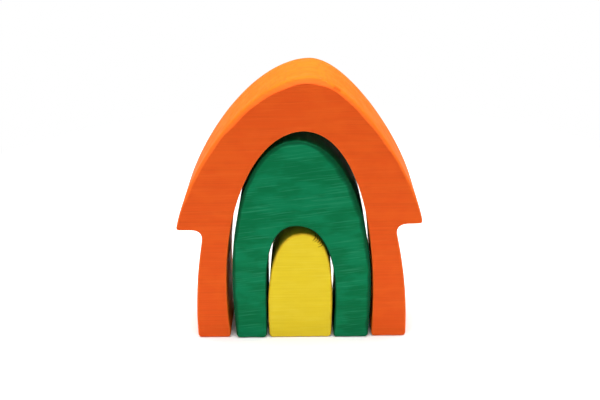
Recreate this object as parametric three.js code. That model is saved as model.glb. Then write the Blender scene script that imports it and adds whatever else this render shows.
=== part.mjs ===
import * as THREE from 'three';

// A stacking toy of three loose wooden pieces: a house with a swept roof, an arch that stands in the
// house's opening, and a door that stands in the arch's opening. All sizes are in millimetres.
// X runs across the front, Y goes from front to back and Z is up from the feet.

// Plank: every piece is sawn from the same board.
const THICKNESS = 30;
const EDGE_ROUND = 0.8; // sanded edge round both faces
const FOOT_ROUND = 2; // from a foot's corner to where its rounding starts

// House
const HOUSE_HEIGHT = 123.2;
const HOUSE_WIDTH = 95.6; // across the feet
const WALL_TUCK = 7; // how far each wall curves in on its way up to the eave
const EAVE_HEIGHT = 57.9; // underside of the eaves
const EAVE_OVERHANG = 11.9; // from the top of a wall out to the eave's tip
const EAVE_STAGGER = 2; // how much higher the right eave was sawn than the left
const EAVE_SHIFT = -0.4; // how far right of the middle the eaves were sawn
const EAVE_TIP_ROUND = 1.7; // from the eave's tip to where its rounding starts
const EAVE_HOLLOW = 6; // the same where a wall meets its eave
const PEAK_SHIFT = 4.9; // how far right of the middle the roof peaks
const HOUSE_FOOT = 15.4; // width of a foot
const HOUSE_CROWN = 21.5; // wood between the opening's top and the peak
const HOUSE_OPENING_SHIFT = -0.35; // how far right of the middle the opening was sawn
const HOUSE_OPENING_LEAN = 2.3; // how far right of its own middle the opening peaks
const HOUSE_OPENING_SWAY = -1.1; // how far right its sides swing on their way up

// Arch, which takes its outline from the house's opening
const ARCH_SIDE_PLAY = 2.25; // to either side, when it stands in the middle
const ARCH_TOP_PLAY = 4.1;
const ARCH_RIGHT_GAP = 1.7; // where it was set down, nearer the right wall
const ARCH_FORWARD = 0.6; // how far it stands out of the house
const ARCH_LEAN = -1.2;
const ARCH_SWAY = 0.5;
const ARCH_FOOT = 14.8;
const ARCH_CROWN = 38.9;
const ARCH_OPENING_SHIFT = -1.05;
const ARCH_OPENING_LEAN = -0.4;
const ARCH_OPENING_SWAY = 2;

// Door, which takes its outline from the arch's opening
const DOOR_SIDE_PLAY = 1.2;
const DOOR_TOP_PLAY = 3.8;
const DOOR_RIGHT_GAP = 1;
const DOOR_FORWARD = 0.4;
const DOOR_LEAN = 1.8;

// Handles of the freehand curves, as shares of a curve's own width and height
const LEFT_ROOF_BEND = { tuck: 0.1, rise: 0.37, peak: 0.45 };
const RIGHT_ROOF_BEND = { tuck: 0.078, rise: 0.37, peak: 0.34 };
const HOUSE_OPENING_BEND = { bow: 0.106, rise: 0.642, peak: 0.585 };
const ARCH_BEND = { bow: 0.16, rise: 0.67, peak: 0.575 };
const ARCH_OPENING_BEND = { bow: 0.05, rise: 0.5, peak: 1.05 };
const DOOR_BEND = { bow: 0.08, rise: 0.5, peak: 1 };

// Facets
const SWEEP_STEPS = 26; // along each side of the roof and of an arch
const WALL_STEPS = 8;
const CORNER_STEPS = 4;
const EDGE_STEPS = 2;

// A corner's rounding starts at least this many edge rounds away, so that the sanded edge can follow it.
const CORNER_PER_EDGE = 2.1;

function reversed(curve) {
  const controls = [curve.v0, curve.v1, curve.v2, curve.v3].filter(Boolean);
  return new curve.constructor(...controls.reverse());
}

// One side of an arch, from its foot up to its peak, where it arrives level. side is -1 or 1.
function archSide({ middle, halfWidth, height, lean, sway = 0, bend }, side) {
  const peak = new THREE.Vector2(middle + lean, height);
  return new THREE.CubicBezierCurve(
    new THREE.Vector2(middle + side * halfWidth, 0),
    new THREE.Vector2(middle + sway + side * halfWidth * (1 + bend.bow), height * bend.rise),
    new THREE.Vector2(peak.x + side * halfWidth * bend.peak, height),
    peak,
  );
}

// Over an arch from its left foot to its right foot.
function overArch(arch) {
  return [
    { curve: archSide(arch, -1), steps: SWEEP_STEPS },
    { curve: reversed(archSide(arch, 1)), steps: SWEEP_STEPS, round: FOOT_ROUND },
  ];
}

// Under an arch from its right foot back to its left foot.
function underArch(arch) {
  return [
    { curve: archSide(arch, 1), steps: SWEEP_STEPS },
    { curve: reversed(archSide(arch, -1)), steps: SWEEP_STEPS, round: FOOT_ROUND },
  ];
}

// One foot's sole, from one corner to the other.
function sole(fromX, toX) {
  const curve = new THREE.LineCurve(new THREE.Vector2(fromX, 0), new THREE.Vector2(toX, 0));
  return { curve, steps: 1, round: FOOT_ROUND };
}

// How much of two stretches the rounding of the corner between them takes up.
function cornerTrim({ round = 0 }) {
  return round > 0 ? Math.max(round, CORNER_PER_EDGE * EDGE_ROUND) : 0;
}

// Joins stretches end to end into a closed outline. A stretch that ends in a corner says how far from
// the corner its rounding starts; one that runs on smoothly has none.
function outline(stretches) {
  const points = [];
  stretches.forEach((stretch, index) => {
    const { curve, steps } = stretch;
    const length = curve.getLength();
    const trim = cornerTrim(stretch);
    const from = cornerTrim(stretches.at(index - 1)) / length;
    const to = 1 - trim / length;
    const count = trim > 0 ? steps : steps - 1;
    for (let step = 0; step <= count; step += 1) {
      points.push(curve.getPointAt(THREE.MathUtils.lerp(from, to, step / steps)));
    }
    if (trim > 0) {
      const next = stretches[(index + 1) % stretches.length].curve;
      const far = next.getPointAt(trim / next.getLength());
      const corner = new THREE.QuadraticBezierCurve(points.at(-1), curve.getPointAt(1), far);
      points.push(...corner.getPoints(CORNER_STEPS).slice(1, -1));
    }
  });
  return new THREE.Shape(points);
}

// A piece sawn from the plank along its outline, standing on Z = 0 with its faces to front and back.
function sawn(name, color, shape) {
  const geometry = new THREE.ExtrudeGeometry(shape, {
    depth: THICKNESS - 2 * EDGE_ROUND,
    steps: 1,
    bevelThickness: EDGE_ROUND,
    bevelSize: EDGE_ROUND,
    bevelOffset: -EDGE_ROUND,
    bevelSegments: EDGE_STEPS,
  });
  geometry.translate(0, 0, EDGE_ROUND - THICKNESS / 2);
  geometry.rotateX(Math.PI / 2);
  const stain = new THREE.MeshStandardMaterial({ color, roughness: 0.6, metalness: 0 });
  const piece = new THREE.Mesh(geometry, stain);
  piece.name = name;
  return piece;
}

const houseOpening = {
  middle: HOUSE_OPENING_SHIFT,
  halfWidth: HOUSE_WIDTH / 2 - HOUSE_FOOT,
  height: HOUSE_HEIGHT - HOUSE_CROWN,
  lean: HOUSE_OPENING_LEAN,
  sway: HOUSE_OPENING_SWAY,
  bend: HOUSE_OPENING_BEND,
};

const archOutline = {
  middle: 0,
  halfWidth: houseOpening.halfWidth - ARCH_SIDE_PLAY,
  height: houseOpening.height - ARCH_TOP_PLAY,
  lean: ARCH_LEAN,
  sway: ARCH_SWAY,
  bend: ARCH_BEND,
};

const archOpening = {
  middle: ARCH_OPENING_SHIFT,
  halfWidth: archOutline.halfWidth - ARCH_FOOT,
  height: archOutline.height - ARCH_CROWN,
  lean: ARCH_OPENING_LEAN,
  sway: ARCH_OPENING_SWAY,
  bend: ARCH_OPENING_BEND,
};

const doorOutline = {
  middle: 0,
  halfWidth: archOpening.halfWidth - DOOR_SIDE_PLAY,
  height: archOpening.height - DOOR_TOP_PLAY,
  lean: DOOR_LEAN,
  bend: DOOR_BEND,
};

// One side of the house from its outer sole corner up the wall, out under the eave and up the roof.
function houseSide(side) {
  const eaveHeight = EAVE_HEIGHT + (side * EAVE_STAGGER) / 2;
  const soleCorner = new THREE.Vector2((side * HOUSE_WIDTH) / 2, 0);
  const wallMiddle = new THREE.Vector2(soleCorner.x, eaveHeight / 2);
  const wallTop = new THREE.Vector2(soleCorner.x - side * WALL_TUCK + EAVE_SHIFT, eaveHeight);
  const tip = new THREE.Vector2(wallTop.x + side * EAVE_OVERHANG, eaveHeight);
  const peak = new THREE.Vector2(PEAK_SHIFT, HOUSE_HEIGHT);
  const roofRise = peak.y - tip.y;
  const bend = side < 0 ? LEFT_ROOF_BEND : RIGHT_ROOF_BEND;
  return {
    wall: new THREE.QuadraticBezierCurve(soleCorner, wallMiddle, wallTop),
    eave: new THREE.LineCurve(wallTop, tip),
    roof: new THREE.CubicBezierCurve(
      tip,
      new THREE.Vector2(tip.x * (1 - bend.tuck), tip.y + roofRise * bend.rise),
      new THREE.Vector2(peak.x + (tip.x - peak.x) * bend.peak, peak.y),
      peak,
    ),
  };
}

function houseOutline() {
  const left = houseSide(-1);
  const right = houseSide(1);
  const openingLeft = houseOpening.middle - houseOpening.halfWidth;
  const openingRight = houseOpening.middle + houseOpening.halfWidth;
  return outline([
    { curve: left.wall, steps: WALL_STEPS, round: EAVE_HOLLOW },
    { curve: left.eave, steps: 1, round: EAVE_TIP_ROUND },
    { curve: left.roof, steps: SWEEP_STEPS },
    { curve: reversed(right.roof), steps: SWEEP_STEPS, round: EAVE_TIP_ROUND },
    { curve: reversed(right.eave), steps: 1, round: EAVE_HOLLOW },
    { curve: reversed(right.wall), steps: WALL_STEPS, round: FOOT_ROUND },
    sole(HOUSE_WIDTH / 2, openingRight),
    ...underArch(houseOpening),
    sole(openingLeft, -HOUSE_WIDTH / 2),
  ]);
}

function archPieceOutline() {
  const openingLeft = archOpening.middle - archOpening.halfWidth;
  const openingRight = archOpening.middle + archOpening.halfWidth;
  return outline([
    ...overArch(archOutline),
    sole(archOutline.halfWidth, openingRight),
    ...underArch(archOpening),
    sole(openingLeft, -archOutline.halfWidth),
  ]);
}

function doorPieceOutline() {
  return outline([...overArch(doorOutline), sole(doorOutline.halfWidth, -doorOutline.halfWidth)]);
}

const house = sawn('outer_house', '#dc531e', houseOutline());
const arch = sawn('middle_arch', '#167c4c', archPieceOutline());
const door = sawn('inner_door', '#e2ca32', doorPieceOutline());

// Each loose piece stands in the opening round it, where it was set down.
const archShift = ARCH_SIDE_PLAY - ARCH_RIGHT_GAP;
const doorShift = DOOR_SIDE_PLAY - DOOR_RIGHT_GAP;
arch.position.set(houseOpening.middle + archShift, -ARCH_FORWARD, 0);
door.position.set(arch.position.x + archOpening.middle + doorShift, -DOOR_FORWARD, 0);

// The origin is on the floor, midway between the eaves and between the frontmost and the rearmost face.
const toy = new THREE.Group();
toy.add(house, arch, door);
toy.position.x = -EAVE_SHIFT;
toy.position.y = Math.max(ARCH_FORWARD, DOOR_FORWARD) / 2;

export default toy;
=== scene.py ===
"""A wooden stacking toy: a house, an arch and a door, sawn from plank, stained and sanded.

Lengths are in millimetres up to the point where a mesh is made, and Blender's own units are metres.
X runs across the front, Y from front to back and Z up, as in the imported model.
"""

import logging
import math
from dataclasses import dataclass
from enum import Enum
from typing import Any

import bpy
import numpy as np
from mathutils import Matrix, Vector


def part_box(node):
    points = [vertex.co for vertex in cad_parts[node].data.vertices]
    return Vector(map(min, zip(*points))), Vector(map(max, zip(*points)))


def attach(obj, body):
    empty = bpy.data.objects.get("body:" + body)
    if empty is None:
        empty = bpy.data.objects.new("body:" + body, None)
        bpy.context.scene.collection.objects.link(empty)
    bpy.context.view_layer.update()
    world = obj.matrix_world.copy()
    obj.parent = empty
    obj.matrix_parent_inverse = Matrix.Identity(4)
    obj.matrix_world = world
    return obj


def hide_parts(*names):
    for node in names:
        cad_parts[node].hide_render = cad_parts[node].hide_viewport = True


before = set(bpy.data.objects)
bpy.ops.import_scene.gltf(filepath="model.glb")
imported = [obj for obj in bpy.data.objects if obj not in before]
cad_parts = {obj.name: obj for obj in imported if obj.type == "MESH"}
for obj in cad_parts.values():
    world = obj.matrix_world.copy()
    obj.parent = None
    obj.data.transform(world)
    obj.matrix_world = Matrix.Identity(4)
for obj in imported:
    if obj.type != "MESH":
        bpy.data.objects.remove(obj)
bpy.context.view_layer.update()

LOG = logging.getLogger("stacking_toy")
MM = 0.001  # metres in a millimetre
PHOTO_WIDTH_PX = 600
CURVE_POINTS = 500  # on each stretch of an outline, before its points are spaced evenly

Colour = tuple[float, float, float, float]


class Side(Enum):
    """A side of the toy, as the sign of X there."""

    LEFT = -1
    RIGHT = 1


class Piece(Enum):
    """The toy's pieces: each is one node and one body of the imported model."""

    HOUSE = "outer_house"
    ARCH = "middle_arch"
    DOOR = "inner_door"


# Outlines


@dataclass(frozen=True)
class Ease:
    """How sanding eased the edge between a face and a sawn side.

    reach is how far the easing goes from the edge, in millimetres. swell is the exponent of its
    superellipse: 2 gives a round, and 1 a flat chamfer.
    """

    reach: float
    swell: float = 2.0


@dataclass(frozen=True)
class Stretch:
    """One stretch of an outline, as a Bezier curve.

    trim is how far from its end the rounding of the corner there starts, and 0 where the outline runs
    on smoothly. The easing passes from ease to ease_at_end along it, where that is given.
    """

    controls: np.ndarray
    ease: Ease
    trim: float = 0.0
    ease_at_end: Ease | None = None

    def eases(self, count: int) -> tuple[np.ndarray, np.ndarray]:
        """The easing at evenly spaced points along the stretch.

        Args:
            count: How many points there are.

        Returns:
            The reach and the swell at each point.
        """
        last = self.ease_at_end or self.ease
        reach = np.linspace(self.ease.reach, last.reach, count)
        return reach, np.linspace(self.ease.swell, last.swell, count)


def bezier(controls: np.ndarray, count: int = CURVE_POINTS) -> np.ndarray:
    """Points on a Bezier curve.

    A point is the sum of the controls weighted by the Bernstein terms C(n, i) u^i (1 - u)^(n - i).

    Args:
        controls: The curve's controls, one row each.
        count: How many points to give.

    Returns:
        The points, from the first control to the last, one row each.
    """
    degree = len(controls) - 1
    order = np.arange(degree + 1)
    choose = np.array([math.comb(degree, int(term)) for term in order])
    share = np.linspace(0.0, 1.0, count)[:, None]
    return (choose * share**order * (1.0 - share) ** (degree - order)) @ np.asarray(controls, float)


def run_along(points: np.ndarray) -> np.ndarray:
    """The distance of each point from the first one, along the line through them."""
    steps = np.linalg.norm(np.diff(points, axis=0), axis=1)
    return np.concatenate(([0.0], np.cumsum(steps)))


def points_at(points: np.ndarray, distances: np.ndarray) -> np.ndarray:
    """Points at given distances along a line of points.

    Args:
        points: The line, one row a point.
        distances: How far along it each wanted point is.

    Returns:
        The wanted points, one row each.
    """
    run = run_along(points)
    return np.column_stack([np.interp(distances, run, column) for column in points.T])


def settled(values: np.ndarray, reach: int) -> np.ndarray:
    """Values round a closed line, held to their lowest neighbour and then averaged.

    Args:
        values: One value a point.
        reach: How many points to either side count as neighbours.

    Returns:
        As many values, with no jumps and none above what its neighbours allow.
    """
    shifts = range(-reach, reach + 1)
    lowest = np.min([np.roll(values, shift) for shift in shifts], axis=0)
    return np.mean([np.roll(lowest, shift) for shift in shifts], axis=0)


@dataclass
class Outline:
    """A closed outline in X and Z, clockwise as seen from the front, with evenly spaced points."""

    points: np.ndarray
    reach: np.ndarray
    swell: np.ndarray
    run: np.ndarray
    spacing: float

    SETTLE = 3.0  # how far along the edge one easing takes to pass into the next
    CORNER_POINTS = 40
    WAVES = (5, 11, 17, 29, 43)  # how often each sine of the unevenness swings, once round

    @classmethod
    def joined(cls, stretches: list[Stretch], spacing: float) -> "Outline":
        """Joins stretches end to end, rounding the corners between them with quadratic curves.

        Args:
            stretches: The stretches in order round the outline.
            spacing: About how far apart its points are.

        Returns:
            The closed outline.
        """
        curves = [bezier(stretch.controls) for stretch in stretches]
        parts, reaches, swells = [], [], []
        for index, (stretch, curve) in enumerate(zip(stretches, curves)):
            end = run_along(curve)[-1] - stretch.trim
            part = points_at(curve, np.linspace(stretches[index - 1].trim, end, len(curve)))
            following = (index + 1) % len(stretches)
            corner = part[-1:]
            if stretch.trim > 0:
                far = points_at(curves[following], np.array([stretch.trim]))[0]
                corner = bezier(np.array([part[-1], curve[-1], far]), cls.CORNER_POINTS)
            reach, swell = stretch.eases(len(part))
            corner_reach = min(reach[-1], stretches[following].ease.reach)
            parts += [part[:-1], corner[:-1]]
            reaches += [reach[:-1], np.full(len(corner) - 1, corner_reach)]
            swells += [swell[:-1], np.full(len(corner) - 1, swell[-1])]
        rough = np.vstack(parts + [parts[0][:1]])
        rough_run = run_along(rough)
        run = np.linspace(0.0, rough_run[-1], round(rough_run[-1] / spacing), endpoint=False)
        near = np.searchsorted(rough_run, run, side="right") - 1
        neighbours = round(cls.SETTLE / spacing)
        return cls(
            points=points_at(rough, run),
            reach=settled(np.concatenate(reaches)[near], neighbours),
            swell=settled(np.concatenate(swells)[near], neighbours),
            run=run,
            spacing=run[1],
        )

    def length(self) -> float:
        """The way once round the outline."""
        return self.run[-1] + self.spacing

    def inward(self) -> np.ndarray:
        """The way into the wood: the line from each point's last neighbour to its next, turned right.

        Returns:
            Unit vectors, one row a point.
        """
        ahead = np.roll(self.points, -1, axis=0) - np.roll(self.points, 1, axis=0)
        ahead /= np.linalg.norm(ahead, axis=1)[:, None]
        return np.column_stack((ahead[:, 1], -ahead[:, 0]))

    def from_peak(self) -> np.ndarray:
        """Each point's distance along the outline from its highest point.

        Returns:
            One distance a point, positive to the right and at most half the way round.
        """
        length = self.length()
        distance = self.run - self.run[np.argmax(self.points[:, 1])]
        return (distance + length / 2) % length - length / 2

    def middle(self) -> np.ndarray:
        """The middle of the outline's box."""
        return (self.points.min(axis=0) + self.points.max(axis=0)) / 2

    def uneven(self, amount: float, seed: int) -> np.ndarray:
        """A smooth unevenness of handwork round the outline, as a sum of sines that close on themselves.

        Args:
            amount: The largest departure from zero.
            seed: What to seed the phases with.

        Returns:
            One value a point.
        """
        phases = np.random.default_rng(seed).uniform(0.0, math.tau, len(self.WAVES))
        turn = math.tau * self.run / self.length()
        return amount * np.mean(np.sin(np.outer(turn, self.WAVES) + phases), axis=1)


@dataclass(frozen=True)
class Bend:
    """The handles of an arch's freehand curve, as shares of its half width and height."""

    bow: float
    rise: float
    peak: float


HOUSE_OPENING_BEND = Bend(bow=0.106, rise=0.642, peak=0.585)
ARCH_BEND = Bend(bow=0.16, rise=0.67, peak=0.575)
ARCH_OPENING_BEND = Bend(bow=0.05, rise=0.5, peak=1.05)
DOOR_BEND = Bend(bow=0.08, rise=0.5, peak=1.0)


@dataclass(frozen=True)
class RoofBend:
    """The handles of one side of the roof, as shares of its half width, its height and its reach."""

    tuck: float
    rise: float
    peak: float


@dataclass(frozen=True)
class ArchLine:
    """An arch from the floor to its peak and down again.

    lean is how far right of the middle it peaks, and sway how far right its sides swing on their way up.
    """

    middle: float
    half_width: float
    height: float
    lean: float
    bend: Bend
    sway: float = 0.0

    def controls(self, side: Side) -> np.ndarray:
        """Controls of one side's cubic curve.

        Args:
            side: The side.

        Returns:
            Four controls from the side's foot to the peak, where the curve arrives level.
        """
        out = side.value * self.half_width
        peak = self.middle + self.lean
        return np.array(
            [
                (self.middle + out, 0.0),
                (self.middle + self.sway + out * (1.0 + self.bend.bow), self.height * self.bend.rise),
                (peak + out * self.bend.peak, self.height),
                (peak, self.height),
            ]
        )

    def passed(self, first: Side, eases: tuple[Ease, Ease, Ease], trim: float) -> list[Stretch]:
        """The stretches over the arch, from one foot to the other.

        Args:
            first: The side to start from.
            eases: How the edge was eased at the first foot, at the peak and at the last foot.
            trim: Where the rounding of the last foot's corner starts.

        Returns:
            One stretch up and one down.
        """
        last = Side(-first.value)
        up = Stretch(self.controls(first), eases[0], ease_at_end=eases[1])
        down = Stretch(self.controls(last)[::-1], eases[1], trim, ease_at_end=eases[2])
        return [up, down]


@dataclass(frozen=True)
class WornPlace:
    """A place where hands and sanding wore an edge further, as a bell curve along the outline."""

    distance: float  # along the outline from its peak, positive to the right
    spread: float
    extra: float

    def added(self, distance: np.ndarray) -> np.ndarray:
        """How much further the easing reaches, at given distances from the peak."""
        return self.extra * np.exp(-(((distance - self.distance) / self.spread) ** 2))


# Meshes


@dataclass(frozen=True)
class TornGrain:
    """A place on a front edge where sanding tore fibres out, in short strokes from the edge inwards."""

    start: float  # the first stroke's distance along the outline from its peak, positive to the right
    spacing: float
    count: int
    width: float
    length: float
    depth: float
    slant: float  # how far a stroke drifts along the edge for each millimetre that it goes inwards

    SHORTENING = 0.45  # by how much a stroke may fall short of the length, as a share
    STAGGER = 2.3  # how far the sine that shortens the strokes turns from one to the next, in radians
    STAGGER_START = 0.4  # where that sine starts
    FLATNESS = 6  # the even power of the bell curve over all strokes: more is flatter on top

    def place(self, distance: np.ndarray) -> np.ndarray:
        """Where the strokes are, as a bell curve with a flat top over all of them.

        Args:
            distance: Each point's distance along the outline from its peak.

        Returns:
            A value from 0 to 1 for each point.
        """
        middle = self.start + self.spacing * (self.count - 1) / 2
        half = self.spacing * (self.count + 1) / 2
        return np.exp(-(((distance - middle) / half) ** self.FLATNESS))

    def strokes(self, distance: np.ndarray, inset: np.ndarray) -> np.ndarray:
        """How torn the surface is, from 0 to 1.

        Each stroke is a bell curve of the distance along the edge that fades out with the way inwards,
        and a sine of its order says by how much it falls short of the full length.

        Args:
            distance: Each point's distance along the outline from its peak.
            inset: How far in from the outline each row lies, rows by points.

        Returns:
            A value for each row and point.
        """
        order = np.arange(self.count)
        shorter = np.abs(np.sin(self.STAGGER * order + self.STAGGER_START))
        lengths = self.length * (1.0 - self.SHORTENING * shorter)
        off = (distance + self.slant * inset)[..., None] - (self.start + self.spacing * order)
        fade = np.clip(1.0 - inset[..., None] / lengths, 0.0, 1.0)
        return np.max(np.exp(-((off / self.width) ** 2)) * np.sqrt(fade), axis=-1)


@dataclass
class SawnBoard:
    """A piece of plank sawn along an outline, as one closed surface.

    The surface is a profile carried along the outline: from the front face round the eased edge, across
    the sawn side and round the rear edge. Two flat faces close it. front and back are their places in Y,
    and torn is the torn grain on the front edge, if there is any.
    """

    outline: Outline
    front: float
    back: float
    torn: TornGrain | None = None

    EASE_ROWS = 8
    SIDE_ROWS = 6
    TORN_ROWS = 12
    LAND = 0.2  # a level strip inside the easing, which keeps the face's shading flat up to it
    SKIN = 0.02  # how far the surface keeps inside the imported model's
    REAR = 0.45  # how much of the front edge's easing the rear edge got
    # The tints on the sides and in the middle of the easing paint light and shade on some pieces, besides
    # real wear.
    ATTRIBUTES = ("sawn", "wear_and_shade", "torn")  # values of 0 to 1 on the mesh, which the stain reads

    def profile(self) -> tuple[np.ndarray, np.ndarray, np.ndarray]:
        """The eased front edge as rows from the face to the side, for every point of the outline.

        It is a superellipse: with turn t from 0 to 90 degrees and power 2 / swell, the surface lies
        reach (1 - sin(t)^power) in from the outline and reach (1 - cos(t)^power) back from the face.

        Returns:
            How far in and how far back each row lies, and the rows' turns.
        """
        turn = np.linspace(0.0, math.pi / 2, self.EASE_ROWS + 1)[:, None]
        power = 2.0 / self.outline.swell
        inset = self.outline.reach * (1.0 - np.clip(np.sin(turn), 0.0, 1.0) ** power)
        depth = self.outline.reach * (1.0 - np.clip(np.cos(turn), 0.0, 1.0) ** power)
        return inset, depth, turn

    def rows(self) -> dict[str, np.ndarray]:
        """All rows of the surface from the front face to the rear face.

        With the easing's turn t, worn is sin(2 t), which is most in the middle of the easing, and sawn is
        (1 - cos(2 t)) / 2, which goes from 0 on a face to 1 on the side.

        Returns:
            inset and depth of each row, and the attributes worn, sawn and torn, each rows by points.
        """
        inset, depth, turn = self.profile()
        thickness = self.back - self.front
        share = np.linspace(0.0, 1.0, self.SIDE_ROWS + 2)[1:-1, None]
        rear_inset, rear_depth = self.REAR * inset[::-1], thickness - self.REAR * depth[::-1]
        side_depth = depth[-1] + share * (rear_depth[0] - depth[-1])
        side = np.zeros_like(side_depth)
        # Most in the middle of the easing: where real edge wear shows, and where painted shade lies on the
        # green arch.
        wear_and_shade = np.broadcast_to(np.sin(2.0 * turn), inset.shape)
        sawn = np.broadcast_to((1.0 - np.cos(2.0 * turn)) / 2.0, inset.shape)
        land, front_torn, front_dip = self.front_rows(inset)
        level = np.zeros_like(land)
        flat = level[:1]
        front_depth = np.vstack((level, depth)) + front_dip
        return {
            "inset": np.vstack((land, inset, side, rear_inset, rear_inset[-1:] + self.LAND)),
            "depth": np.vstack((front_depth, side_depth, rear_depth, flat + thickness)),
            "wear_and_shade": np.vstack((level, wear_and_shade, side, wear_and_shade[::-1], flat)),
            "sawn": np.vstack((level, sawn, side + 1.0, sawn[::-1], flat)),
            "torn": np.vstack((front_torn, side, np.zeros_like(inset), flat)),
        }

    def front_rows(self, inset: np.ndarray) -> tuple[np.ndarray, np.ndarray, np.ndarray]:
        """The level rows inside the front edge's easing, and the tears from there to the side.

        Without torn grain there is one level row. With it there are TORN_ROWS, which reach inwards over
        the strokes' length where the strokes are, and each stroke dips by its depth.

        Args:
            inset: How far in the rows of the easing lie.

        Returns:
            How far in the level rows lie, and how torn and how far back every row is from there on.
        """
        if self.torn is None:
            still = np.zeros((len(inset) + 1, inset.shape[1]))
            return inset[:1] + self.LAND, still, still
        distance = self.outline.from_peak()
        inwards = np.linspace(1.0, 0.0, self.TORN_ROWS, endpoint=False)[:, None]
        land = inset[:1] + inwards * (self.LAND + self.torn.length * self.torn.place(distance))
        torn = self.torn.strokes(distance, np.vstack((land, inset)))
        return land, torn, self.torn.depth * torn

    def mesh(self, name: str) -> bpy.types.Mesh:
        """Makes the Blender mesh, in metres, with its attributes.

        Args:
            name: The mesh's name.

        Returns:
            The closed mesh, with its faces pointing out.
        """
        rows = self.rows()
        inset = rows["inset"]
        count, around = inset.shape
        plane = self.outline.points + (inset + self.SKIN)[..., None] * self.outline.inward()
        places = np.stack((plane[..., 0], self.front + rows["depth"], plane[..., 1]), axis=-1)
        index = np.arange(count * around).reshape(count, around)
        ahead = np.roll(index, -1, axis=1)
        quads = np.stack((index[:-1], ahead[:-1], ahead[1:], index[1:]), axis=-1).reshape(-1, 4)
        faces = quads.tolist() + [index[0, ::-1].tolist(), index[-1].tolist()]
        mesh = bpy.data.meshes.new(name)
        mesh.from_pydata((places.reshape(-1, 3) * MM).tolist(), [], faces)
        smooth = np.ones(len(faces), bool)
        smooth[-2:] = False
        mesh.polygons.foreach_set("use_smooth", smooth)
        for attribute in self.ATTRIBUTES:
            layer = mesh.attributes.new(attribute, "FLOAT", "POINT")
            layer.data.foreach_set("value", rows[attribute].ravel().astype(np.float32))
        mesh.update()
        return mesh


# Materials


def linear(hex_colour: str) -> Colour:
    """Turns an sRGB colour into a linear one, by the sRGB curve.

    Args:
        hex_colour: The colour, such as #e3c82d.

    Returns:
        Linear red, green and blue, and an alpha of 1.
    """
    channels = np.array([int(hex_colour[at : at + 2], 16) for at in (1, 3, 5)]) / 255.0
    low = channels / 12.92
    high = ((channels + 0.055) / 1.055) ** 2.4
    return (*np.where(channels <= 0.04045, low, high).tolist(), 1.0)


def add_node(tree: bpy.types.NodeTree, kind: str, inputs: dict[Any, Any], **settings: Any) -> bpy.types.Node:
    """Adds a node with its settings, values and links.

    Args:
        tree: The tree to add it to.
        kind: The node's type.
        inputs: Input name or index to a value, or to the socket to link there.
        settings: The node's own properties.

    Returns:
        The new node.
    """
    node = tree.nodes.new(kind)
    for name, value in settings.items():
        setattr(node, name, value)
    for name, value in inputs.items():
        if isinstance(value, bpy.types.NodeSocket):
            tree.links.new(value, node.inputs[name])
        else:
            node.inputs[name].default_value = value
    return node


@dataclass(frozen=True)
class GrainLayer:
    """One layer of the wood's pattern: noise drawn out along the grain.

    along, deep and across are the pattern's sizes in X, Y and Z, in millimetres. The noise counts from
    low to high, and tilt turns the layer within the face, in degrees.
    """

    along: float
    deep: float
    across: float
    low: float
    high: float
    seed: float
    detail: float = 2.0
    tilt: float = 0.0

    ROUGHNESS = 0.55  # how strongly the noise's finer octaves count

    def socket(self, tree: bpy.types.NodeTree, coords: bpy.types.NodeSocket) -> bpy.types.NodeSocket:
        """Adds the layer's nodes.

        Args:
            tree: The material's tree.
            coords: The piece's Object coordinates, in metres.

        Returns:
            A value from 0 to 1.
        """
        turned = add_node(
            tree,
            "ShaderNodeMapping",
            {"Vector": coords, "Rotation": (0.0, math.radians(self.tilt), 0.0)},
        )
        drawn = add_node(
            tree,
            "ShaderNodeMapping",
            {
                "Vector": turned.outputs["Vector"],
                "Location": (self.seed, self.seed, self.seed),
                "Scale": (1.0 / (self.along * MM), 1.0 / (self.deep * MM), 1.0 / (self.across * MM)),
            },
        )
        noise = add_node(
            tree,
            "ShaderNodeTexNoise",
            {
                "Vector": drawn.outputs["Vector"],
                "Scale": 1.0,
                "Detail": self.detail,
                "Roughness": self.ROUGHNESS,
            },
        )
        level = add_node(
            tree,
            "ShaderNodeMapRange",
            {"Value": noise.outputs["Fac"], "From Min": self.low, "From Max": self.high},
            interpolation_type="SMOOTHSTEP",
        )
        return level.outputs["Result"]


@dataclass(frozen=True)
class Tint:
    """A colour laid over the stain, where a pattern or an attribute says, at most by its strength."""

    colour: str
    strength: float


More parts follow.
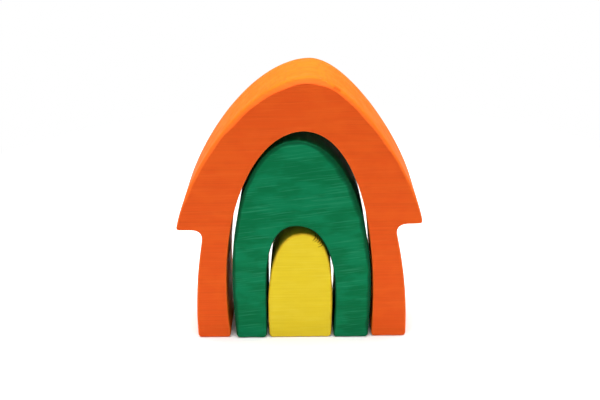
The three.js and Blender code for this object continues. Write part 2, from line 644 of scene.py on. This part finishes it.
@dataclass(frozen=True)
class StainedWood:
    """Beech or lime plank, sawn, sanded and soaked with a water stain, left without varnish.

    The eye sees a saturated, almost flat colour with fine level lines of grain, soft blotches where the
    wood took the stain unevenly, a few pale streaks, and a low soft sheen.
    """

    name: str
    stain: str
    lines: Tint
    blotches: Tint
    streaks: Tint
    # The eased edges' tint: real wear where it is lighter, painted shade on the green arch's edges.
    wear_and_shade: Tint
    # The sawn sides' tint: painted light on the orange house, painted shade on the green arch and the yellow
    # door.
    sawn: Tint
    torn: Tint
    blotch_size: float  # across the grain, in millimetres
    streak_size: tuple[float, float]  # along and across the grain, in millimetres
    streak_tilt: float  # degrees
    seed: float
    roughness: float = 0.62
    sheen_spread: float = 0.06  # how far the roughness departs from that, with the blotches
    ior: float = 1.5
    specular: float = 0.04  # bare stained wood, with no film of varnish over it
    relief: float = 0.05  # height of the grain in millimetres, so that it shows
    relief_strength: float = 0.35

    def grain(self) -> dict[str, GrainLayer]:
        """The three layers of the wood's pattern, with their sizes in millimetres.

        The lines are about half a millimetre wide, the finest that a render of the whole toy can show.

        Returns:
            The layers lines, blotches and streaks.
        """
        blotch = self.blotch_size
        along, across = self.streak_size
        return {
            "lines": GrainLayer(
                along=70.0, deep=3.0, across=0.55, low=0.42, high=0.66, seed=self.seed, detail=3.0
            ),
            "blotches": GrainLayer(
                along=2.2 * blotch,
                deep=blotch,
                across=blotch,
                low=0.4,
                high=0.64,
                seed=self.seed + 7.0,
                detail=3.0,
            ),
            "streaks": GrainLayer(
                along=along,
                deep=4.0,
                across=across,
                low=0.52,
                high=0.72,
                seed=self.seed + 13.0,
                tilt=self.streak_tilt,
            ),
        }

    def colour(
        self, tree: bpy.types.NodeTree, where: dict[str, bpy.types.NodeSocket]
    ) -> bpy.types.NodeSocket:
        """Lays the tints over the stain, each where its pattern or attribute says.

        Args:
            tree: The material's tree.
            where: The sockets of the patterns and attributes, by name.

        Returns:
            The wood's colour.
        """
        layers = {
            "sawn": self.sawn,
            "lines": self.lines,
            "blotches": self.blotches,
            "streaks": self.streaks,
            "wear_and_shade": self.wear_and_shade,
            "torn": self.torn,
        }
        colour: Colour | bpy.types.NodeSocket = linear(self.stain)
        for name, tint in layers.items():
            amount = add_node(
                tree, "ShaderNodeMath", {0: where[name], 1: tint.strength}, operation="MULTIPLY"
            )
            mixed = add_node(
                tree,
                "ShaderNodeMix",
                {0: amount.outputs[0], 6: colour, 7: linear(tint.colour)},
                data_type="RGBA",
            )
            colour = mixed.outputs[2]
        return colour

    def material(self) -> bpy.types.Material:
        """Makes the material, on Object coordinates and the piece's own attributes.

        Returns:
            The material, named for the wood that it is.
        """
        material = bpy.data.materials.new(self.name)
        material.use_nodes = True
        tree = material.node_tree
        tree.nodes.clear()
        coords = add_node(tree, "ShaderNodeTexCoord", {}).outputs["Object"]
        where = {name: layer.socket(tree, coords) for name, layer in self.grain().items()}
        for name in SawnBoard.ATTRIBUTES:
            where[name] = add_node(tree, "ShaderNodeAttribute", {}, attribute_name=name).outputs["Fac"]
        bump = add_node(
            tree,
            "ShaderNodeBump",
            {"Height": where["lines"], "Strength": self.relief_strength, "Distance": self.relief * MM},
        )
        sheen = add_node(
            tree,
            "ShaderNodeMapRange",
            {
                "Value": where["blotches"],
                "To Min": self.roughness - self.sheen_spread,
                "To Max": self.roughness + self.sheen_spread,
            },
        )
        shader = add_node(
            tree,
            "ShaderNodeBsdfPrincipled",
            {
                "Base Color": self.colour(tree, where),
                "Roughness": sheen.outputs["Result"],
                "IOR": self.ior,
                "Specular IOR Level": self.specular,
                "Normal": bump.outputs["Normal"],
            },
        )
        add_node(tree, "ShaderNodeOutputMaterial", {"Surface": shader.outputs[0]})
        return material


ORANGE_STAIN = StainedWood(
    name="orange_stained_wood",
    stain="#df541a",
    lines=Tint("#c44614", 0.27),
    blotches=Tint("#e6601f", 0.4),
    streaks=Tint("#ea6a2a", 0.25),
    wear_and_shade=Tint("#ee7430", 0.25),
    # Painted light: the sides, the roof's top among them, are lighter than the stain to stand in for the
    # strong light from above.
    sawn=Tint("#ea6c10", 0.85),
    torn=Tint("#b23c0c", 0.85),
    blotch_size=6.0,
    streak_size=(24.0, 0.8),
    streak_tilt=2.0,
    seed=3.0,
)
GREEN_STAIN = StainedWood(
    name="green_stained_wood",
    stain="#036c40",
    lines=Tint("#005a34", 0.3),
    blotches=Tint("#12865a", 0.42),
    streaks=Tint("#2f8e66", 0.42),
    # Painted shade: the arch's eased edges are darkened to the shade that falls on its rounded flanks and
    # right shoulder.
    wear_and_shade=Tint("#023a20", 0.8),
    # Painted shade: the sides, whose top shows in the dark gap under the house, are darker than the stain.
    sawn=Tint("#046038", 0.7),
    torn=Tint("#023a20", 0.9),
    blotch_size=6.5,
    streak_size=(18.0, 0.6),
    streak_tilt=7.0,
    seed=11.0,
)
YELLOW_STAIN = StainedWood(
    name="yellow_stained_wood",
    stain="#e2c62a",
    lines=Tint("#cbac20", 0.25),
    blotches=Tint("#e8cf3a", 0.35),
    streaks=Tint("#ecd74e", 0.25),
    wear_and_shade=Tint("#d2a028", 0.4),
    sawn=Tint("#c39c22", 0.85),
    # Painted shade: the door's sides, whose top shows in the dark gap under the arch, are darker than the
    # stain.
    torn=Tint("#5c3c00", 0.95),
    blotch_size=5.0,
    streak_size=(20.0, 0.7),
    streak_tilt=1.0,
    seed=23.0,
)


# Pieces


@dataclass
class SawnPiece:
    """What the toy's pieces share: a node that they stand for, a stain, and the sanded feet."""

    piece: Piece
    stain: StainedWood
    foot_corner: float = 2.0
    foot_ease: Ease = Ease(0.8)
    spacing: float = 0.35
    unevenness: float = 0.4  # how far the edges' easing departs from its own reach, as a share
    worn_places: tuple[WornPlace, ...] = ()
    torn: TornGrain | None = None

    @property
    def height(self) -> float:
        """The piece's height above the floor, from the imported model."""
        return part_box(self.piece.value)[1].z / MM

    def stretches(self) -> list[Stretch]:
        """The outline's stretches, clockwise from the left outer foot corner."""
        raise NotImplementedError

    def sole(self, from_x: float, to_x: float) -> Stretch:
        """A foot's sole, from one corner to the other."""
        return Stretch(np.array([(from_x, 0.0), (to_x, 0.0)]), self.foot_ease, self.foot_corner)

    def board(self) -> SawnBoard:
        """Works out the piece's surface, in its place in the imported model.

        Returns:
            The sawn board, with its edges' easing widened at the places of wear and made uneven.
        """
        outline = Outline.joined(self.stretches(), self.spacing)
        low, high = (np.array(corner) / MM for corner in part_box(self.piece.value))
        outline.points[:, 0] += (low[0] + high[0]) / 2 - outline.middle()[0]
        for place in self.worn_places:
            outline.reach += place.added(outline.from_peak())
        outline.reach *= 1.0 + outline.uneven(self.unevenness, seed=len(self.piece.value))
        return SawnBoard(outline, low[1], high[1], self.torn)

    def build(self) -> bpy.types.Object:
        """Makes the piece, dresses it and sets it on its body in the node's place.

        Returns:
            The piece's object.
        """
        name = f"{self.piece.value}_wood"
        shown = bpy.data.objects.new(name, self.board().mesh(name))
        bpy.context.scene.collection.objects.link(shown)
        shown.data.materials.append(self.stain.material())
        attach(shown, self.piece.value)
        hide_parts(self.piece.value)
        LOG.info("%s: %d faces", name, len(shown.data.polygons))
        return shown


@dataclass
class House(SawnPiece):
    """The outer piece: two walls, two eaves and a swept roof round a pointed opening."""

    width: float = 95.6
    wall_tuck: float = 7.0
    eave_height: float = 57.9
    eave_overhang: float = 11.9
    eave_stagger: float = 2.0
    eave_shift: float = -0.4
    eave_tip: float = 1.7
    eave_hollow: float = 6.0
    peak_shift: float = 4.9
    foot: float = 15.4
    crown: float = 21.5
    opening_shift: float = -0.35
    opening_lean: float = 2.3
    opening_sway: float = -1.1
    left_roof: RoofBend = RoofBend(tuck=0.1, rise=0.37, peak=0.45)
    right_roof: RoofBend = RoofBend(tuck=0.078, rise=0.37, peak=0.34)
    peak_ease: Ease = Ease(1.35, 1.0)
    left_tip_ease: Ease = Ease(1.1, 1.3)
    right_tip_ease: Ease = Ease(0.8, 1.3)
    eave_ease: Ease = Ease(0.65)
    wall_ease: Ease = Ease(0.9)
    opening_ease: Ease = Ease(0.55)
    worn_places: tuple[WornPlace, ...] = (WornPlace(-2.0, 30.0, 0.25),)

    def opening(self) -> ArchLine:
        """The pointed opening that the middle arch stands in."""
        return ArchLine(
            middle=self.opening_shift,
            half_width=self.width / 2 - self.foot,
            height=self.height - self.crown,
            lean=self.opening_lean,
            bend=HOUSE_OPENING_BEND,
            sway=self.opening_sway,
        )

    def side(self, side: Side) -> tuple[np.ndarray, np.ndarray, np.ndarray]:
        """Controls of one side's curves: a quadratic wall, a straight eave and a cubic roof.

        Args:
            side: The side.

        Returns:
            Controls of the wall, the eave and the roof, each from the foot's end towards the peak.
        """
        eave_height = self.eave_height + side.value * self.eave_stagger / 2
        sole_x = side.value * self.width / 2
        wall_top_x = sole_x - side.value * self.wall_tuck + self.eave_shift
        tip_x = wall_top_x + side.value * self.eave_overhang
        bend = self.left_roof if side is Side.LEFT else self.right_roof
        wall = np.array([(sole_x, 0.0), (sole_x, eave_height / 2), (wall_top_x, eave_height)])
        eave = np.array([(wall_top_x, eave_height), (tip_x, eave_height)])
        roof = np.array(
            [
                (tip_x, eave_height),
                (tip_x * (1.0 - bend.tuck), eave_height + (self.height - eave_height) * bend.rise),
                (self.peak_shift + (tip_x - self.peak_shift) * bend.peak, self.height),
                (self.peak_shift, self.height),
            ]
        )
        return wall, eave, roof

    def stretches(self) -> list[Stretch]:
        """Lists the outline's stretches: up the left side, down the right one and round the opening.

        Returns:
            The stretches, clockwise from the left outer foot corner.
        """
        left_wall, left_eave, left_roof = self.side(Side.LEFT)
        right_wall, right_eave, right_roof = self.side(Side.RIGHT)
        opening = self.opening()
        return [
            Stretch(left_wall, self.wall_ease, self.eave_hollow),
            Stretch(left_eave, self.eave_ease, self.eave_tip),
            Stretch(left_roof, self.left_tip_ease, ease_at_end=self.peak_ease),
            Stretch(right_roof[::-1], self.peak_ease, self.eave_tip, ease_at_end=self.right_tip_ease),
            Stretch(right_eave[::-1], self.eave_ease, self.eave_hollow),
            Stretch(right_wall[::-1], self.wall_ease, self.foot_corner),
            self.sole(self.width / 2, opening.middle + opening.half_width),
            *opening.passed(Side.RIGHT, (self.opening_ease,) * 3, self.foot_corner),
            self.sole(opening.middle - opening.half_width, -self.width / 2),
        ]


@dataclass(kw_only=True)
class InnerPiece(SawnPiece):
    """What the inner pieces share: they stand in another's opening, with play to either side."""

    room: float  # half the width of that opening
    side_play: float

    @property
    def half_width(self) -> float:
        """Half the piece's width across its feet."""
        return self.room - self.side_play


@dataclass(kw_only=True)
class Arch(InnerPiece):
    """The middle piece: a pointed arch on two feet, round an opening for the door."""

    side_play: float = 2.25
    lean: float = -1.2
    sway: float = 0.5
    foot: float = 14.8
    crown: float = 38.9
    opening_shift: float = -1.05
    opening_lean: float = -0.4
    opening_sway: float = 2.0
    # The wide easing on the flanks and at the worn place on the right shoulder carries the painted shade of
    # the green edge tint.
    outer_eases: tuple[Ease, Ease, Ease] = (Ease(2.4), Ease(1.2), Ease(2.4))
    opening_ease: Ease = Ease(0.6)
    worn_places: tuple[WornPlace, ...] = (WornPlace(30.0, 20.0, 1.2),)

    def opening(self) -> ArchLine:
        """The round-topped opening that the door stands in."""
        return ArchLine(
            middle=self.opening_shift,
            half_width=self.half_width - self.foot,
            height=self.height - self.crown,
            lean=self.opening_lean,
            bend=ARCH_OPENING_BEND,
            sway=self.opening_sway,
        )

    def stretches(self) -> list[Stretch]:
        """Lists the outline's stretches: over the arch and back round its opening.

        Returns:
            The stretches, clockwise from the left outer foot corner.
        """
        outer = ArchLine(0.0, self.half_width, self.height, self.lean, ARCH_BEND, self.sway)
        opening = self.opening()
        return [
            *outer.passed(Side.LEFT, self.outer_eases, self.foot_corner),
            self.sole(self.half_width, opening.middle + opening.half_width),
            *opening.passed(Side.RIGHT, (self.opening_ease,) * 3, self.foot_corner),
            self.sole(opening.middle - opening.half_width, -self.half_width),
        ]


@dataclass(kw_only=True)
class Door(InnerPiece):
    """The inner piece: a solid door with a round top."""

    side_play: float = 1.2
    lean: float = 1.8
    outer_eases: tuple[Ease, Ease, Ease] = (Ease(0.8), Ease(0.9), Ease(1.2))

    def stretches(self) -> list[Stretch]:
        """The outline's stretches, clockwise from the left foot corner."""
        outer = ArchLine(0.0, self.half_width, self.height, self.lean, DOOR_BEND)
        return [
            *outer.passed(Side.LEFT, self.outer_eases, self.foot_corner),
            self.sole(self.half_width, -self.half_width),
        ]


# Studio


@dataclass(frozen=True)
class Softbox:
    """A square lamp behind a diffuser. Place and aim are in metres."""

    name: str
    place: tuple[float, float, float]
    aim: tuple[float, float, float]
    size: float
    watts: float

    def build(self) -> bpy.types.Object:
        """Makes the lamp and turns it to its aim.

        Returns:
            The lamp's object.
        """
        lamp = bpy.data.lights.new(self.name, "AREA")
        lamp.energy = self.watts
        lamp.size = self.size
        shown = bpy.data.objects.new(self.name, lamp)
        shown.location = self.place
        shown.rotation_euler = (Vector(self.aim) - Vector(self.place)).to_track_quat("-Z", "Y").to_euler()
        bpy.context.scene.collection.objects.link(shown)
        return shown


@dataclass
class Studio:
    """A white sweep, soft light from above and both sides, and the camera."""

    softboxes: tuple[Softbox, ...] = (
        Softbox("top_softbox", (0.0, 0.03, 0.6), (0.0, 0.0, 0.06), 0.45, 6.6),
        Softbox("left_softbox", (-0.6, -0.05, 0.35), (0.0, 0.0, 0.07), 0.45, 0.8),
        Softbox("right_softbox", (0.6, -0.05, 0.35), (0.0, 0.0, 0.07), 0.45, 0.7),
    )
    floor_half: float = 3.0  # metres
    floor_colour: str = "#f7f7f7"
    white: str = "#ffffff"
    fade_from: float = 0.16  # where the floor starts to pass into plain white, away from the toy
    fade_to: float = 0.3
    surround: float = 0.35  # strength of the even light from all round
    camera_elevation: float = 27.5  # degrees, as are azimuth and roll
    camera_azimuth: float = 0.7
    camera_roll: float = 0.97
    camera_distance: float = 300.0  # from the aim, in millimetres
    camera_aim: tuple[float, float, float] = (0.65, -14.7, 71.2)
    camera_near: float = 10.0  # nothing nearer than this is drawn
    focal_px: float = 720.0

    def build(self) -> None:
        """Makes the lamps, the floor, the surround and the camera."""
        for softbox in self.softboxes:
            softbox.build()
        self.build_floor()
        self.build_surround()
        self.build_camera()
        bpy.context.scene.view_settings.view_transform = "Standard"

    def seen(self, tree: bpy.types.NodeTree) -> bpy.types.NodeSocket:
        """Adds nodes that tell which rays see a surface: straight, in a mirror or through glass.

        Args:
            tree: The tree to add them to.

        Returns:
            A value of 1 for such rays and of 0 for the others.
        """
        rays = add_node(tree, "ShaderNodeLightPath", {}).outputs
        seen = rays["Is Camera Ray"]
        for kind in ("Is Glossy Ray", "Is Transmission Ray"):
            seen = add_node(tree, "ShaderNodeMath", {0: seen, 1: rays[kind]}, operation="MAXIMUM").outputs[0]
        return seen

    def build_floor(self) -> bpy.types.Object:
        """Makes the white floor under the toy.

        White paper gives the eye the toy's soft shadow round its feet, and passes into plain white away
        from it, so that no horizon shows.

        Returns:
            The floor, which is part of the stage and not of the toy.
        """
        half = self.floor_half
        mesh = bpy.data.meshes.new("floor")
        corners = np.array([(-1, -1, 0), (1, -1, 0), (1, 1, 0), (-1, 1, 0)]) * half
        mesh.from_pydata(corners.tolist(), [], [(0, 1, 2, 3)])
        material = bpy.data.materials.new("white_paper_sweep")
        material.use_nodes = True
        tree = material.node_tree
        tree.nodes.clear()
        paper = add_node(tree, "ShaderNodeBsdfDiffuse", {"Color": linear(self.floor_colour)})
        glow = add_node(tree, "ShaderNodeEmission", {"Color": linear(self.white), "Strength": 1.0})
        coords = add_node(tree, "ShaderNodeTexCoord", {}).outputs["Object"]
        distance = add_node(tree, "ShaderNodeVectorMath", {0: coords}, operation="LENGTH")
        far = add_node(
            tree,
            "ShaderNodeMapRange",
            {"Value": distance.outputs["Value"], "From Min": self.fade_from, "From Max": self.fade_to},
        )
        seen = self.seen(tree)
        share = add_node(tree, "ShaderNodeMath", {0: far.outputs["Result"], 1: seen}, operation="MULTIPLY")
        sweep = add_node(
            tree, "ShaderNodeMixShader", {0: share.outputs[0], 1: paper.outputs[0], 2: glow.outputs[0]}
        )
        add_node(tree, "ShaderNodeOutputMaterial", {"Surface": sweep.outputs[0]})
        mesh.materials.append(material)
        floor = bpy.data.objects.new("floor", mesh)
        bpy.context.scene.collection.objects.link(floor)
        return floor

    def build_surround(self) -> bpy.types.World:
        """Makes the world: white where it is seen or mirrored, and a dim even light elsewhere.

        Returns:
            The world.
        """
        world = bpy.data.worlds.new("surround")
        world.use_nodes = True
        tree = world.node_tree
        tree.nodes.clear()
        strength = add_node(
            tree,
            "ShaderNodeMapRange",
            {"Value": self.seen(tree), "To Min": self.surround, "To Max": 1.0},
        )
        sky = add_node(
            tree,
            "ShaderNodeBackground",
            {"Color": linear(self.white), "Strength": strength.outputs["Result"]},
        )
        add_node(tree, "ShaderNodeOutputWorld", {"Surface": sky.outputs[0]})
        bpy.context.scene.world = world
        return world

    def build_camera(self) -> bpy.types.Object:
        """Makes the camera, which looks down at the front with a slight roll.

        Returns:
            The camera's object.
        """
        turn, lift, roll = (
            math.radians(angle) for angle in (self.camera_azimuth, self.camera_elevation, self.camera_roll)
        )
        ahead = Vector((-math.sin(turn) * math.cos(lift), math.cos(turn) * math.cos(lift), -math.sin(lift)))
        level = Vector((math.cos(turn), math.sin(turn), 0.0))
        upright = level.cross(ahead)
        right = math.cos(roll) * level - math.sin(roll) * upright
        up = math.sin(roll) * level + math.cos(roll) * upright
        lens = bpy.data.cameras.new("photo_camera")
        lens.lens = lens.sensor_width * self.focal_px / PHOTO_WIDTH_PX
        lens.clip_start = self.camera_near * MM
        camera = bpy.data.objects.new("photo_camera", lens)
        turned = Matrix((right, up, -ahead)).transposed().to_4x4()
        place = (Vector(self.camera_aim) - ahead * self.camera_distance) * MM
        camera.matrix_world = Matrix.Translation(place) @ turned
        bpy.context.scene.collection.objects.link(camera)
        bpy.context.scene.camera = camera
        return camera


def main() -> None:
    """Builds the studio and the toy's pieces, and reports each piece."""
    logging.basicConfig(level=logging.INFO, format="%(name)s: %(message)s")
    Studio().build()
    roof_nicks = TornGrain(start=10.6, spacing=1.0, count=3, width=0.55, length=1.0, depth=0.15, slant=0.8)
    door_strokes = TornGrain(start=6.0, spacing=1.2, count=5, width=0.34, length=2.6, depth=0.3, slant=0.1)
    house = House(Piece.HOUSE, ORANGE_STAIN, torn=roof_nicks)
    arch = Arch(Piece.ARCH, GREEN_STAIN, room=house.opening().half_width)
    door_room = arch.opening().half_width
    door = Door(Piece.DOOR, YELLOW_STAIN, room=door_room, spacing=0.15, torn=door_strokes)
    for piece in (house, arch, door):
        piece.build()


if __name__ == "__main__":
    main()
